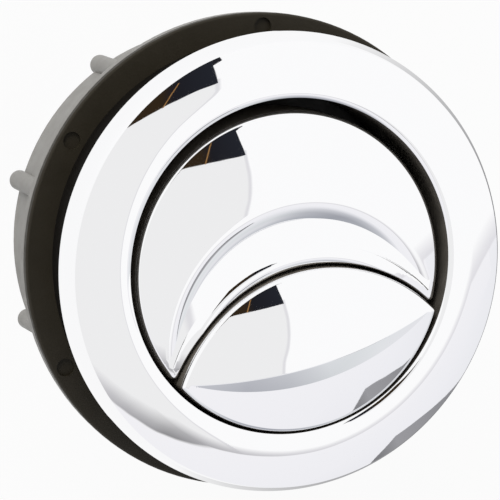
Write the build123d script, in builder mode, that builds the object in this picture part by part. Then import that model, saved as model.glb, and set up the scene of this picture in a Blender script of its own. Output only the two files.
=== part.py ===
"""Dual-flush push button for a cistern lid.

The frame has +Z out of the lid, along the button axis, and its origin at the centre of the bezel's foot, on
the plane of the lid's top. The half-flush button lies toward -Y. All sizes are in millimetres.
"""

import os
from math import sqrt

from build123d import *

os.makedirs("parts", exist_ok=True)

# Bezel
bezel_diameter = 72.0
opening_diameter = 52.4
bezel_height = 5.3
bezel_wall = 1.6
rim_land = 0.5
bevel_width = 1.2
face_fall = 0.87
knee_width = 3.2
knee_fall = 0.2
crest_width = 1.0
crest_fall = 0.25
foot_width = 2.4
seat_depth = 2.6
skirt_length = 9.0
snap_height = 0.4
snap_length = 1.6

# Housing
neck_wall = 2.5
neck_length = 33.0
skirt_fit = 0.1
flange_fit = 0.3
floor_clearance = 3.0
floor_wall = 2.0
guide_length = 9.0
guide_wall = 2.4
rib_wall = 1.6
rib_depth = 5.0
drain_radius = 3.0
drain_offset = 16.0

# Thread of the neck
thread_depth = 0.6
thread_fit = 0.1

# Clamp ring and lock nut
lid_gap = 11.3
ring_thickness = 1.6
ring_width = 4.3
ring_fit = 0.3
collar_wall = 2.1
collar_height = 5.0
recess_radius = 1.4
recess_depth = 0.6
recess_count = 6
recess_angle = 15.0
nut_height = 20.9
nut_wall = 1.9
nut_flange = 2.2
nut_flange_inset = 0.15
nut_edge = 0.5
grip_count = 9
grip_angle = 30.0
grip_radius = 1.6
grip_proud = 0.1
grip_overhang = 1.2
grip_edge = 0.7

# Buttons, both set on one circle that stands a little off the opening's centre
button_gap = 1.3
button_shift = 1.0
full_rim = 3.4
half_rim = 5.4
dome_radius = 133.0
cap_edge = 0.6
cap_wall = 1.8
cap_skirt = 8.4
split_gap = 0.5
split_radius = 25.55
split_drop = 25.4
tip_radius = 0.7
press_travel = 6.0

# Thumb scoop of the full-flush cap, and the bead between it and the split
scoop_drop = 14.5
scoop_reach = 25.6
scoop_height = 2.0
scoop_roll = 4.2
scoop_floor_radius = 480.0
scoop_floor_margin = 1.2
bead_drop = 21.0
bead_reach = 22.8
bead_radius = 2.2
bead_height = 0.5

# Crest of the half-flush cap
crest_offset = 14.4
crest_foot = 17.3
crest_dome_radius = 120.0

# Plungers
full_stem_y = 11.4
half_stem_y = -12.5
boss_radius = 4.4
boss_bottom = -1.0
cap_rib_wall = 1.4
cap_rib_rise = 1.5
stem_radius = 4.5
stem_fit = 0.08
stem_tail = 6.0
shoulder_radius = 7.0
shoulder_thickness = 1.6
bore_depth = 26.0
rod_fit = 0.05

# Screws
screw_radius = 1.3
screw_fit = 0.05
screw_length = 8.5
screw_head_radius = 2.6
screw_head_height = 1.8
screw_slot_width = 0.7
screw_slot_depth = 0.8

# Clips
clip_radius = 6.4
clip_thickness = 0.8
clip_groove = 0.6
clip_fit = 0.05
clip_mouth = 6.0

# Return springs
spring_radius = 5.8
wire_radius = 0.35
wire_sides = 8
spring_turns = 4.0

# Push rods and their nuts
rod_radius = 3.0
rod_engagement = 15.0
rod_thread_length = 32.0
shank_radius = 2.6
shank_length = 26.0
rod_chamfer = 0.6
rod_nut_flats = 10.0
rod_nut_thickness = 4.0

# Radii and heights that follow from the sizes above
bezel_radius = bezel_diameter / 2
opening_radius = opening_diameter / 2
skirt_radius = opening_radius + bezel_wall
neck_bore = skirt_radius + skirt_fit
neck_radius = neck_bore + neck_wall
thread_radius = neck_radius + thread_depth
housing_flange_radius = bezel_radius - foot_width - flange_fit
foot_radius = bezel_radius - foot_width
ring_bore = thread_radius + ring_fit
collar_outer = ring_bore + collar_wall
ring_radius = collar_outer + ring_width
ring_top = -lid_gap
ring_bottom = ring_top - ring_thickness
nut_bore = thread_radius + thread_fit
sleeve_radius = nut_bore + nut_wall
nut_bottom = ring_bottom - nut_height
cap_bottom = full_rim - cap_skirt
floor_top = cap_bottom - press_travel - floor_clearance
floor_bottom = floor_top - floor_wall
guide_bottom = floor_bottom - guide_length
guide_bore = stem_radius + stem_fit
guide_radius = guide_bore + guide_wall
clip_bottom = guide_bottom - clip_thickness
stem_bottom = clip_bottom - stem_tail
bore_radius = rod_radius + rod_fit
bore_top = stem_bottom + bore_depth
shoulder_bottom = boss_bottom - shoulder_thickness
screw_grip = screw_length - (boss_bottom - bore_top)
button_radius = opening_radius - button_gap

# Places of the vertical axes that the button surfaces and stems turn about
button_y = -button_shift
split_y = button_y - split_drop
scoop_y = button_y - scoop_drop
bead_y = button_y - bead_drop
full_stem = (0, button_y + full_stem_y)
half_stem = (0, button_y + half_stem_y)


def section_at(y):
    """Upright sketch plane whose local origin is on the vertical line through (0, y)."""
    return Plane(origin=(0, y, 0), x_dir=(1, 0, 0), z_dir=(0, -1, 0))


def axis_at(y):
    """Vertical axis through (0, y)."""
    return Axis((0, y, 0), (0, 0, 1))


def dome_height(rim_radius, sphere_radius, distance):
    """Height of a spherical dome above its rim, at a distance from its axis."""
    sag = sqrt(sphere_radius**2 - rim_radius**2)
    return sqrt(sphere_radius**2 - distance**2) - sag


def domed_disc_profile(radius, rim, sphere_radius, edge):
    """Half section of a domed disc with a rounded rim, down to the foot of the caps."""
    apex = rim + dome_height(radius, sphere_radius, 0)
    with BuildLine() as half_section:
        crown = RadiusArc((radius, rim), (0, apex), -sphere_radius)
        Polyline(crown @ 1, (0, cap_bottom), (radius, cap_bottom), crown @ 0)
    make_face(half_section.edges())
    if edge:
        rim_corner = vertices().sort_by_distance((radius, rim))[0]
        fillet(rim_corner, edge)


def cap_outline(inset, is_full):
    """Plan of one cap, inset from its edges: the button circle on one side of the split, with round tips."""
    split_edge = split_gap / 2 + inset
    arc_radius = split_radius + split_edge if is_full else split_radius - split_edge
    with Locations((0, button_y)):
        Circle(button_radius - inset)
    with Locations((0, split_y)):
        Circle(arc_radius, mode=Mode.SUBTRACT if is_full else Mode.INTERSECT)
    fillet(vertices(), tip_radius)


# Corner where the split meets the button circle, from the circle's centre
corner_y = (split_radius**2 - button_radius**2 - split_drop**2) / (2 * split_drop)
corner_x = sqrt(button_radius**2 - corner_y**2)

# Bezel: one turned section, from the foot up over the face and down the well
with BuildPart() as bezel:
    with BuildSketch(Plane.XZ):
        with BuildLine():
            rim_top = (bezel_radius, rim_land)
            shoulder = (bezel_radius - bevel_width, bezel_height - face_fall)
            crest = (opening_radius + crest_width, bezel_height)
            knee = (opening_radius + crest_width + knee_width, bezel_height - knee_fall)
            well_top = (opening_radius, bezel_height - crest_fall)
            Line((bezel_radius, 0), rim_top)
            TangentArc(rim_top, shoulder, tangent=(0, 1))
            crown = TangentArc(crest, knee, tangent=(1, 0))
            TangentArc(knee, shoulder, tangent=crown % 1)
            TangentArc(crest, well_top, tangent=(-1, 0))
            snap_top = -skirt_length + snap_length
            Polyline(
                well_top,
                (opening_radius, -skirt_length),
                (skirt_radius, -skirt_length),
                (skirt_radius + snap_height, snap_top - snap_length / 2),
                (skirt_radius, snap_top),
                (skirt_radius, seat_depth),
                (foot_radius, seat_depth),
                (foot_radius, 0),
                (bezel_radius, 0),
            )
        make_face()
    revolve(axis=Axis.Z)
bezel.part.label = "bezel"
export_step(bezel.part, "parts/bezel.step")

# Housing: turned neck and flange, a floor with two guide tubes, and ribs that tie them to the neck
with BuildPart() as housing:
    with BuildSketch(Plane.XZ):
        with BuildLine():
            snap_middle = -skirt_length + snap_length / 2
            groove = snap_length / 2 + skirt_fit
            Polyline(
                (neck_bore, seat_depth),
                (neck_bore, snap_middle + groove),
                (neck_bore + snap_height, snap_middle),
                (neck_bore, snap_middle - groove),
                (neck_bore, floor_top),
                (0, floor_top),
                (0, floor_bottom),
                (neck_bore, floor_bottom),
                (neck_bore, -neck_length),
                (neck_radius, -neck_length),
                (neck_radius, 0),
                (housing_flange_radius, 0),
                (housing_flange_radius, seat_depth),
                close=True,
            )
        make_face()
    revolve(axis=Axis.Z)
    with BuildSketch(Plane.XY.offset(floor_bottom)):
        with Locations(full_stem, half_stem):
            Circle(guide_radius)
    extrude(amount=-guide_length)
    with BuildSketch(Plane.XY.offset(floor_bottom)):
        with Locations(full_stem, half_stem):
            Rectangle(2 * neck_radius, rib_wall)
        Rectangle(rib_wall, 2 * neck_radius)
        Circle(neck_bore + neck_wall / 2, mode=Mode.INTERSECT)
    extrude(amount=-rib_depth)
    with Locations((*full_stem, floor_top), (*half_stem, floor_top)):
        Hole(guide_bore)
    with Locations((drain_offset, 0, floor_top), (-drain_offset, 0, floor_top)):
        Hole(drain_radius)
    bottom_edges = edges().filter_by(GeomType.CIRCLE).group_by(Axis.Z)[0]
    chamfer(bottom_edges.sort_by(SortBy.RADIUS)[-1], thread_depth)
housing.part.label = "housing"
export_step(housing.part, "parts/housing.step")

# Clamp ring: a washer with a centring collar, and a circle of round recesses in its face
with BuildPart() as clamp_ring:
    with BuildSketch(Plane.XZ):
        with BuildLine():
            Polyline(
                (ring_bore, ring_bottom),
                (ring_radius, ring_bottom),
                (ring_radius, ring_top),
                (collar_outer, ring_top),
                (collar_outer, ring_top + collar_height),
                (ring_bore, ring_top + collar_height),
                close=True,
            )
        make_face()
    revolve(axis=Axis.Z)
    face_edges = edges().filter_by(GeomType.CIRCLE).sort_by(SortBy.RADIUS)[-2:]
    fillet(face_edges, ring_thickness / 4)
    with BuildSketch(Plane.XY.offset(ring_top)):
        with PolarLocations((ring_radius + collar_outer) / 2, recess_count, recess_angle):
            Circle(recess_radius)
    extrude(amount=-recess_depth, mode=Mode.SUBTRACT)
clamp_ring.part.label = "clamp_ring"
export_step(clamp_ring.part, "parts/clamp_ring.step")

# Lock nut: flange, sleeve and round pegs for the fingers, which stand out of the sleeve and past its end
with BuildPart() as lock_nut:
    flange_radius = ring_radius - nut_flange_inset
    with BuildSketch(Plane.XZ):
        with BuildLine():
            Polyline(
                (nut_bore, ring_bottom),
                (flange_radius, ring_bottom),
                (flange_radius, ring_bottom - nut_flange),
                (sleeve_radius, ring_bottom - nut_flange),
                (sleeve_radius, nut_bottom),
                (nut_bore, nut_bottom),
                close=True,
            )
        make_face()
    revolve(axis=Axis.Z)
    flange_edges = edges().filter_by(GeomType.CIRCLE).sort_by(SortBy.RADIUS)[-2:]
    fillet(flange_edges, nut_edge)
    mouth_edges = edges().filter_by(GeomType.CIRCLE).group_by(Axis.Z)[0]
    chamfer(mouth_edges, nut_edge)
    with BuildSketch(Plane.XY.offset(ring_bottom - nut_flange)):
        with PolarLocations(sleeve_radius + grip_proud, grip_count, grip_angle):
            Circle(grip_radius)
    extrude(amount=nut_flange - nut_height - grip_overhang)
    grip_ends = edges().filter_by(GeomType.CIRCLE).group_by(Axis.Z)[0]
    fillet(grip_ends, grip_edge)
lock_nut.part.label = "lock_nut"
export_step(lock_nut.part, "parts/lock_nut.step")

# Crown of the full-flush cap: the scoop's floor, the wall that rolls over into the dome, and the bead along
# the split, all kept under the dome
with BuildPart() as full_crown:
    floor_rim_radius = button_radius - scoop_floor_margin
    floor_rim = full_rim + dome_height(button_radius, dome_radius, floor_rim_radius)
    floor_reach = button_radius + cap_edge
    floor_edge = floor_rim + dome_height(floor_rim_radius, scoop_floor_radius, floor_reach)
    with BuildSketch(section_at(button_y)):
        domed_disc_profile(floor_reach, floor_edge, scoop_floor_radius, 0)
    revolve(axis=axis_at(button_y))
    with BuildSketch(section_at(scoop_y)):
        with BuildLine():
            roll_top = full_rim + scoop_height
            wall_foot = scoop_reach - scoop_roll
            wall_end = scoop_reach + button_radius + scoop_drop
            roll = RadiusArc((wall_foot, roll_top - scoop_roll), (scoop_reach, roll_top), scoop_roll)
            Polyline(
                roll @ 1,
                (wall_end, roll_top),
                (wall_end, cap_bottom),
                (wall_foot, cap_bottom),
                roll @ 0,
            )
        make_face()
    revolve(axis=axis_at(scoop_y))
    with BuildSketch(section_at(bead_y)):
        bead_top = floor_rim + dome_height(floor_rim_radius, scoop_floor_radius, 0) + bead_height
        with Locations((bead_reach, bead_top - bead_radius)):
            Circle(bead_radius)
    revolve(axis=axis_at(bead_y))
    with BuildSketch(section_at(button_y)):
        domed_disc_profile(button_radius, full_rim, dome_radius, cap_edge)
    revolve(axis=axis_at(button_y), mode=Mode.INTERSECT)

# Crown of the half-flush cap: a dome about the split's own centre, cut down behind the crest to the dome about
# the buttons' centre by a ramp, which is part of a sphere through both corners of the cap
ramp_low = dome_height(button_radius, dome_radius, crest_foot)
ramp_high = dome_height(split_radius, crest_dome_radius, split_drop - crest_offset)
inner_corner_x = corner_x - cap_edge
span = crest_foot - crest_offset
lean = (crest_foot**2 + ramp_low**2 - crest_offset**2 - ramp_high**2) / 2
corner_square = (inner_corner_x**2 + corner_y**2 - crest_offset**2 - ramp_high**2) / 2
corner_run = crest_offset + corner_y
ramp_drop = ramp_high - ramp_low
ramp_z = (corner_square * span + corner_run * lean) / (-ramp_high * span - corner_run * ramp_drop)
ramp_y = -(lean + ramp_drop * ramp_z) / span
ramp_radius = sqrt((crest_offset + ramp_y) ** 2 + (ramp_high - ramp_z) ** 2)

with BuildPart() as half_crown:
    with Locations((0, button_y + ramp_y, half_rim + ramp_z)):
        Sphere(ramp_radius)
    with BuildSketch(Plane.XY.offset(cap_bottom)):
        with Locations((0, button_y)):
            Circle(button_radius - cap_edge)
    extrude(amount=2 * cap_skirt, mode=Mode.INTERSECT)
    with BuildSketch(section_at(button_y)):
        domed_disc_profile(button_radius, half_rim, dome_radius, cap_edge)
    revolve(axis=axis_at(button_y))
    with BuildSketch(section_at(split_y)):
        domed_disc_profile(split_radius - split_gap / 2, half_rim, crest_dome_radius, cap_edge)
    revolve(axis=axis_at(split_y), mode=Mode.INTERSECT)

# Each button: its cap and what the cap carries, the same on both stems
buttons = (("full_flush", full_stem, full_crown), ("half_flush", half_stem, half_crown))
for button, stem, crown in buttons:
    section = section_at(stem[1])
    stem_axis = axis_at(stem[1])
    is_full = crown is full_crown
    prism_height = 2 * cap_skirt

    # Hollow under the crown, less a boss for the screw and the two ribs that carry it
    with BuildPart() as pocket:
        with BuildSketch(Plane.XY.offset(cap_bottom)):
            cap_outline(cap_wall, is_full)
        extrude(amount=prism_height)
        add(crown.part.moved(Location((0, 0, -cap_wall))), mode=Mode.INTERSECT)
        with BuildSketch(Plane.XY.offset(boss_bottom)):
            with Locations(stem):
                Circle(boss_radius)
        extrude(amount=prism_height, mode=Mode.SUBTRACT)
        with BuildSketch(Plane.XY.offset(boss_bottom + cap_rib_rise)):
            with Locations(stem):
                Rectangle(4 * button_radius, cap_rib_wall)
                Rectangle(cap_rib_wall, 4 * button_radius)
        extrude(amount=prism_height, mode=Mode.SUBTRACT)

    # Cap: the crown inside its plan, hollowed to an even wall
    with BuildPart() as cap:
        with BuildSketch(Plane.XY.offset(cap_bottom)):
            cap_outline(0, is_full)
        extrude(amount=prism_height)
        add(crown.part, mode=Mode.INTERSECT)
        add(pocket.part, mode=Mode.SUBTRACT)
        with BuildSketch(Plane.XY.offset(boss_bottom)):
            with Locations(stem):
                Circle(screw_radius + screw_fit)
        extrude(amount=screw_grip + screw_fit, mode=Mode.SUBTRACT)
    cap.part.label = f"{button}_cap"
    export_step(cap.part, f"parts/{button}_cap.step")

    # Plunger: shoulder under the cap's boss, stem with a groove for the clip, bores for the rod and screw
    with BuildPart() as plunger:
        groove_radius = stem_radius - clip_groove
        with BuildSketch(section):
            with BuildLine():
                Polyline(
                    (screw_radius + 2 * screw_fit, boss_bottom),
                    (shoulder_radius, boss_bottom),
                    (shoulder_radius, shoulder_bottom),
                    (stem_radius, shoulder_bottom),
                    (stem_radius, guide_bottom),
                    (groove_radius, guide_bottom),
                    (groove_radius, clip_bottom),
                    (stem_radius, clip_bottom),
                    (stem_radius, stem_bottom),
                    (bore_radius, stem_bottom),
                    (bore_radius, bore_top),
                    (screw_radius + 2 * screw_fit, bore_top),
                    close=True,
                )
            make_face()
        revolve(axis=stem_axis)
    plunger.part.label = f"{button}_plunger"
    export_step(plunger.part, f"parts/{button}_plunger.step")

    # Screw: pan head against the end of the plunger's bore, shank up into the cap's boss
    with BuildPart() as screw:
        head_bottom = bore_top - screw_head_height
        with BuildSketch(section):
            with BuildLine():
                head = RadiusArc((0, head_bottom), (screw_head_radius, bore_top), -2 * screw_head_radius)
                Polyline(
                    head @ 1,
                    (screw_radius, bore_top),
                    (screw_radius, bore_top + screw_length - screw_radius),
                    (0, bore_top + screw_length),
                    head @ 0,
                )
            make_face()
        revolve(axis=stem_axis)
        with BuildSketch(Plane.XY.offset(head_bottom)):
            with Locations(stem):
                Rectangle(2 * screw_radius, screw_slot_width)
                Rectangle(screw_slot_width, 2 * screw_radius)
        extrude(amount=screw_slot_depth, mode=Mode.SUBTRACT)
    screw.part.label = f"{button}_screw"
    export_step(screw.part, f"parts/{button}_screw.step")

    # Return spring between the well's floor and the plunger's shoulder, its round wire drawn with flats
    with BuildPart() as spring:
        coil_rise = shoulder_bottom - floor_top - 2 * wire_radius
        with BuildLine():
            coil = Helix(
                pitch=coil_rise / spring_turns,
                height=coil_rise,
                radius=spring_radius,
                center=(*stem, floor_top + wire_radius),
            )
        with BuildSketch(Plane(origin=coil @ 0, z_dir=coil % 0)):
            RegularPolygon(wire_radius, wire_sides)
        sweep(path=coil, is_frenet=True)
    spring.part.label = f"{button}_spring"
    export_step(spring.part, f"parts/{button}_spring.step")

    # Clip in the stem's groove, up against the end of the guide tube
    with BuildPart() as clip:
        with BuildSketch(Plane.XY.offset(guide_bottom)):
            with Locations(stem):
                Circle(clip_radius)
                Circle(stem_radius - clip_groove + clip_fit, mode=Mode.SUBTRACT)
            with Locations((clip_radius, stem[1])):
                Rectangle(2 * clip_radius, clip_mouth, mode=Mode.SUBTRACT)
        extrude(amount=-clip_thickness)
    clip.part.label = f"{button}_clip"
    export_step(clip.part, f"parts/{button}_clip.step")

    # Push rod: threaded length in the plunger, plain shank down to the valve
    with BuildPart() as rod:
        rod_top = stem_bottom + rod_engagement
        shank_top = rod_top - rod_thread_length
        shank_bottom = shank_top - shank_length
        with BuildSketch(section):
            with BuildLine():
                Polyline(
                    (0, rod_top),
                    (rod_radius - rod_chamfer, rod_top),
                    (rod_radius, rod_top - rod_chamfer),
                    (rod_radius, shank_top),
                    (shank_radius, shank_top),
                    (shank_radius, shank_bottom + rod_chamfer),
                    (shank_radius - rod_chamfer, shank_bottom),
                    (0, shank_bottom),
                    close=True,
                )
            make_face()
        revolve(axis=stem_axis)
    rod.part.label = f"{button}_rod"
    export_step(rod.part, f"parts/{button}_rod.step")

    # Nut that locks the rod against the end of the plunger
    with BuildPart() as rod_nut:
        with BuildSketch(Plane.XY.offset(stem_bottom)):
            with Locations(stem):
                RegularPolygon(rod_nut_flats / 2, 6, major_radius=False)
                Circle(bore_radius, mode=Mode.SUBTRACT)
        extrude(amount=-rod_nut_thickness)
    rod_nut.part.label = f"{button}_rod_nut"
    export_step(rod_nut.part, f"parts/{button}_rod_nut.step")
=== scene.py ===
"""Looks of the dual-flush push button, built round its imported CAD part. Sizes are in millimetres."""

from math import atan2, cos, hypot, pi, sin, sqrt

import bpy
import numpy as np
from mathutils import Matrix, Vector
from mathutils.geometry import delaunay_2d_cdt
from mathutils.kdtree import KDTree


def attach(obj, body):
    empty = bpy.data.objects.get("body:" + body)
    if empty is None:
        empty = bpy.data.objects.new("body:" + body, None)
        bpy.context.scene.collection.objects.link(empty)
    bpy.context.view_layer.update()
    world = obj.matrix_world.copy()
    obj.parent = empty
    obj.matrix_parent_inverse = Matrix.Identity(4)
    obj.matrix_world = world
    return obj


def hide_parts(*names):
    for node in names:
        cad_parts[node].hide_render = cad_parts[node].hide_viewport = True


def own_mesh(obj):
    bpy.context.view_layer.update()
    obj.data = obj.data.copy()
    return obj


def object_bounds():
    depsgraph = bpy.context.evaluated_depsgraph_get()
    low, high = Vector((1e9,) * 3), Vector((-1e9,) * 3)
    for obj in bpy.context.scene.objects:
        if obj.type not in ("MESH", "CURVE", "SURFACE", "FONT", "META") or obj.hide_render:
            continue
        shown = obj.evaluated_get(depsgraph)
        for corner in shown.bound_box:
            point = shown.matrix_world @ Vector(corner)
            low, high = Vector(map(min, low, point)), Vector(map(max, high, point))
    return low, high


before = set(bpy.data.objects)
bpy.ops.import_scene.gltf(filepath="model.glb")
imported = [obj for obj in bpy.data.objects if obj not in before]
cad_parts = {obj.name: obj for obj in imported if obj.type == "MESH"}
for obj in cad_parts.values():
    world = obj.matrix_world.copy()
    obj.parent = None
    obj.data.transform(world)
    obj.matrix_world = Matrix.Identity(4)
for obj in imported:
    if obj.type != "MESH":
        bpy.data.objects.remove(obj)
cad_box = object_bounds()
MM = 0.001
TINY = 1e-9  # keeps a division off zero


# Mesh building: a chunk is (points, faces, corner normals), and a piece is chunks welded where they meet

def build(name, chunks, weld=2e-4):
    """One mesh object of chunks, with its shading normals as worked out from the shapes."""
    points, faces, normals, start = [], [], [], 0
    for chunk_points, chunk_faces, chunk_normals in chunks:
        points.append(np.asarray(chunk_points, float))
        faces += [[i + start for i in face] for face in chunk_faces]
        normals += [list(corners) for corners in chunk_normals]
        start += len(chunk_points)
    points = np.concatenate(points)
    tree = KDTree(len(points))
    for i, point in enumerate(points):
        tree.insert(point, i)
    tree.balance()
    index = [min(found[1] for found in tree.find_range(point, weld)) for point in points]
    used, index = np.unique(index, return_inverse=True)
    kept_faces, kept_normals = [], []
    for face, corners in zip(faces, normals):
        face = [int(index[i]) for i in face]
        kept = [k for k in range(len(face)) if face[k] != face[k - 1]]
        if len({face[k] for k in kept}) > 2:
            kept_faces.append([face[k] for k in kept])
            kept_normals += [corners[k] for k in kept]
    mesh = bpy.data.meshes.new(name)
    mesh.from_pydata((points[used] * MM).tolist(), [], kept_faces)
    mesh.polygons.foreach_set("use_smooth", [True] * len(mesh.polygons))
    mesh.normals_split_custom_set([tuple(n) for n in kept_normals])
    mesh.update()
    piece = bpy.data.objects.new(name, mesh)
    bpy.context.scene.collection.objects.link(piece)
    return piece


def turned(profile, normals, count):
    """Chunk that a run of (radius, height) points sweeps about the Z axis."""
    angles = np.arange(count) * 2 * pi / count
    ring = np.stack([np.cos(angles), np.sin(angles)], 1)
    points = [(r * c, r * s, z) for r, z in profile for c, s in ring]
    around = [[(a * c, a * s, b) for c, s in ring] for a, b in normals]
    faces, corners = [], []
    for i in range(len(profile) - 1):
        for j in range(count):
            k = (j + 1) % count
            faces.append([i * count + j, i * count + k, (i + 1) * count + k, (i + 1) * count + j])
            corners.append([around[i][j], around[i][k], around[i + 1][k], around[i + 1][j]])
    return points, faces, corners


def straight(start, end):
    """Profile run along a line, with the solid on its left."""
    along = np.subtract(end, start)
    along = along / np.hypot(*along)
    return [start, end], [(along[1], -along[0])] * 2


def bend(start, end, tangent, steps, backwards=False):
    """Profile run along the arc that leaves start along tangent, or that reaches end along it."""
    if backwards:
        points, normals = bend(end, start, (-tangent[0], -tangent[1]), steps)
        return points[::-1], [(-a, -b) for a, b in normals[::-1]]
    start, chord = np.asarray(start, float), np.subtract(end, start)
    along = np.asarray(tangent, float) / np.hypot(*tangent)
    left = np.array([-along[1], along[0]])
    radius = chord @ chord / (2 * chord @ left)
    centre = start + left * radius
    turn = 2 * atan2(chord @ left, chord @ along)
    points, normals = [], []
    for t in np.linspace(0, turn, steps + 1):
        spoke = (start - centre) * cos(t) + np.array([centre[1] - start[1], start[0] - centre[0]]) * sin(t)
        heading = along * cos(t) + left * sin(t)
        points.append(tuple(centre + spoke))
        normals.append((heading[1], -heading[0]))
    return points, normals


def tube(path, radius, sides=14):
    """Chunks of a round wire along a path of points, with flat ends."""
    path = np.asarray(path, float)
    along = np.gradient(path, axis=0)
    along /= np.linalg.norm(along, axis=1)[:, None]
    across = np.cross(along, (0, 0, 1))
    across /= np.linalg.norm(across, axis=1)[:, None]
    over = np.cross(across, along)
    angles = np.arange(sides) * 2 * pi / sides
    spokes = across[:, None] * np.cos(angles)[None, :, None] + over[:, None] * np.sin(angles)[None, :, None]
    points = (path[:, None] + radius * spokes).reshape(-1, 3)
    spokes = spokes.reshape(-1, 3)
    pairs = [(i * sides + j, i * sides + (j + 1) % sides) for i in range(len(path) - 1) for j in range(sides)]
    faces = [[a, a + sides, b + sides, b] for a, b in pairs]
    chunks = [(points, faces, [[spokes[k] for k in face] for face in faces])]
    for row, sign in ((0, -1), (len(path) - 1, 1)):
        rim = list(range(row * sides, (row + 1) * sides))[::-sign]
        chunks.append((points, [rim], [[sign * along[row]] * sides]))
    return chunks


def ridge(root, crest, pitch, bottom, top, foot, land, centre=(0, 0), steps=72, fade=0.35):
    """Chunks of a right-hand thread ridge that fades out at both ends."""
    turns = (top - bottom) / pitch
    spots = np.linspace(0, turns, int(turns * steps) + 1)
    swell = np.clip(np.minimum(spots, turns - spots) / fade, 0, 1)
    swell = swell * swell * (3 - 2 * swell)
    rows = []
    for t, s in zip(spots, swell):
        a, z = 2 * pi * t, bottom + pitch * t
        tip, half_foot, half_land = root + (crest - root) * s, foot / 2 * s, land / 2 * s
        ring = [(root, -half_foot), (tip, -half_land), (tip, half_land), (root, half_foot)]
        rows.append([(centre[0] + r * cos(a), centre[1] + r * sin(a), z + h) for r, h in ring])
    rows = np.array(rows)
    chunks = []
    for k in range(4):
        strip = rows[:, [k, (k + 1) % 4]].reshape(-1, 3)
        faces = [[2 * i, 2 * i + 2, 2 * i + 3, 2 * i + 1] for i in range(len(rows) - 1)]
        corners = []
        for face in faces:
            a, b, c, d = strip[face]
            normal = np.cross(c - a, d - b)
            length = np.linalg.norm(normal)
            corners.append([normal / length if length > TINY else (0, 0, 1)] * 4)
        chunks.append((strip, faces, corners))
    return chunks


def finish_piece(piece, body, material, *nodes):
    """Gives a piece its material, the body that it rides on and the CAD nodes that it stands for."""
    piece.data.materials.append(material)
    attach(piece, body)
    if nodes:
        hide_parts(*nodes)
    return piece


# Sizes that the pieces below share with the part
bezel_radius, opening_radius, bezel_height, bezel_wall = 36.0, 26.2, 5.3, 1.6
rim_land, bevel_width, face_fall, foot_width, seat_depth = 0.5, 1.2, 0.87, 2.4, 2.6
crest_width, crest_fall, knee_width, knee_fall = 1.0, 0.25, 3.2, 0.2
skirt_length, snap_height, snap_length = 9.0, 0.4, 1.6
neck_radius, thread_radius, thread_pitch, collar_radius = 30.4, 31.0, 4.0, 33.4
button_y, full_rim, half_rim, button_radius, cap_bottom = -1.0, 3.4, 5.4, 24.9, -5.0
dome_radius, cap_edge, cap_wall, tip_radius = 133.0, 0.6, 1.8, 0.7
split_radius, split_gap, split_drop = 25.55, 0.5, 25.4
boss_radius, boss_bottom, rib_wall, rib_bottom, screw_bore, screw_end = 4.4, -1.0, 1.4, 0.5, 1.35, 2.75
spring_radius, spring_turns, wire_radius, coil_bottom, coil_top = 5.8, 4.0, 0.35, -14.0, -2.6
rod_radius, press_travel = 3.0, 6.0
stems = {"full_flush": 10.4, "half_flush": -13.5}  # each button's stem, along Y

# Materials
noise_span = (0.3, 0.7)  # most of what a noise texture gives
wall_lean = (0.06, 0.3)  # how far a wall's normal rises where its plating begins and where it is whole
skin_span = (-0.06, 0.08)  # how far the roughness of moulded plastic strays
haze_span, drawn_span = (0.008, 0.02), (0.2, 0.38)
well_margin, collar_margin = 0.9, 0.03
grain_depth, peel_depth, line_depth = 0.02, 0.004, 0.01


def shader(name, colour, roughness, metallic=0.0):
    """New material, its nodes and links, and its Principled shader, with plain values that textures vary."""
    material = bpy.data.materials.new(name)
    material.use_nodes = True
    nodes, links = material.node_tree.nodes, material.node_tree.links
    principled = nodes["Principled BSDF"]
    principled.inputs["Base Color"].default_value = (*colour, 1)
    principled.inputs["Roughness"].default_value = roughness
    principled.inputs["Metallic"].default_value = metallic
    return material, nodes, links, principled


def noise(nodes, links, scale, detail=3.0, stretch=(1, 1, 1)):
    """Noise texture in object space, in waves per millimetre."""
    place = nodes.new("ShaderNodeTexCoord")
    spread = nodes.new("ShaderNodeMapping")
    spread.inputs["Scale"].default_value = [s / MM for s in stretch]
    texture = nodes.new("ShaderNodeTexNoise")
    texture.inputs["Scale"].default_value = scale
    texture.inputs["Detail"].default_value = detail
    links.new(place.outputs["Object"], spread.inputs["Vector"])
    links.new(spread.outputs["Vector"], texture.inputs["Vector"])
    return texture.outputs["Fac"]


def ranged(nodes, links, value, given, wanted):
    """A value brought from one (low, high) range into another."""
    node = nodes.new("ShaderNodeMapRange")
    for socket, limit in zip(("From Min", "From Max", "To Min", "To Max"), (*given, *wanted)):
        node.inputs[socket].default_value = limit
    links.new(value, node.inputs["Value"])
    return node.outputs["Result"]


def spread_to(nodes, links, value, low, high, socket):
    """Feeds a socket with a noise value brought into a range."""
    links.new(ranged(nodes, links, value, noise_span, (low, high)), socket)


def blended(nodes, links, kind, factor, first, second, socket):
    """Feeds a socket with a mix of two values, and gives back the mix, whose values textures may feed."""
    mix = nodes.new("ShaderNodeMix")
    mix.data_type = kind
    mix.inputs["A"].default_value = first
    mix.inputs["B"].default_value = second
    links.new(factor, mix.inputs["Factor"])
    links.new(mix.outputs["Result"], socket)
    return mix


def mottle(nodes, links, value, dark, light, socket):
    """Feeds a colour socket with a mix of two colours."""
    blended(nodes, links, "RGBA", value, (*dark, 1), (*light, 1), socket)


def bump(nodes, links, value, depth, socket):
    """Feeds a normal socket with a relief of a depth in millimetres."""
    relief = nodes.new("ShaderNodeBump")
    relief.inputs["Distance"].default_value = depth * MM
    links.new(value, relief.inputs["Height"])
    links.new(relief.outputs["Normal"], socket)


def maths(nodes, links, operation, *values):
    """Result of a sum whose values are sockets or plain numbers."""
    node = nodes.new("ShaderNodeMath")
    node.operation = operation
    for socket, value in zip(node.inputs, values):
        if isinstance(value, float):
            socket.default_value = value
        else:
            links.new(value, socket)
    return node.outputs[0]


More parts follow.
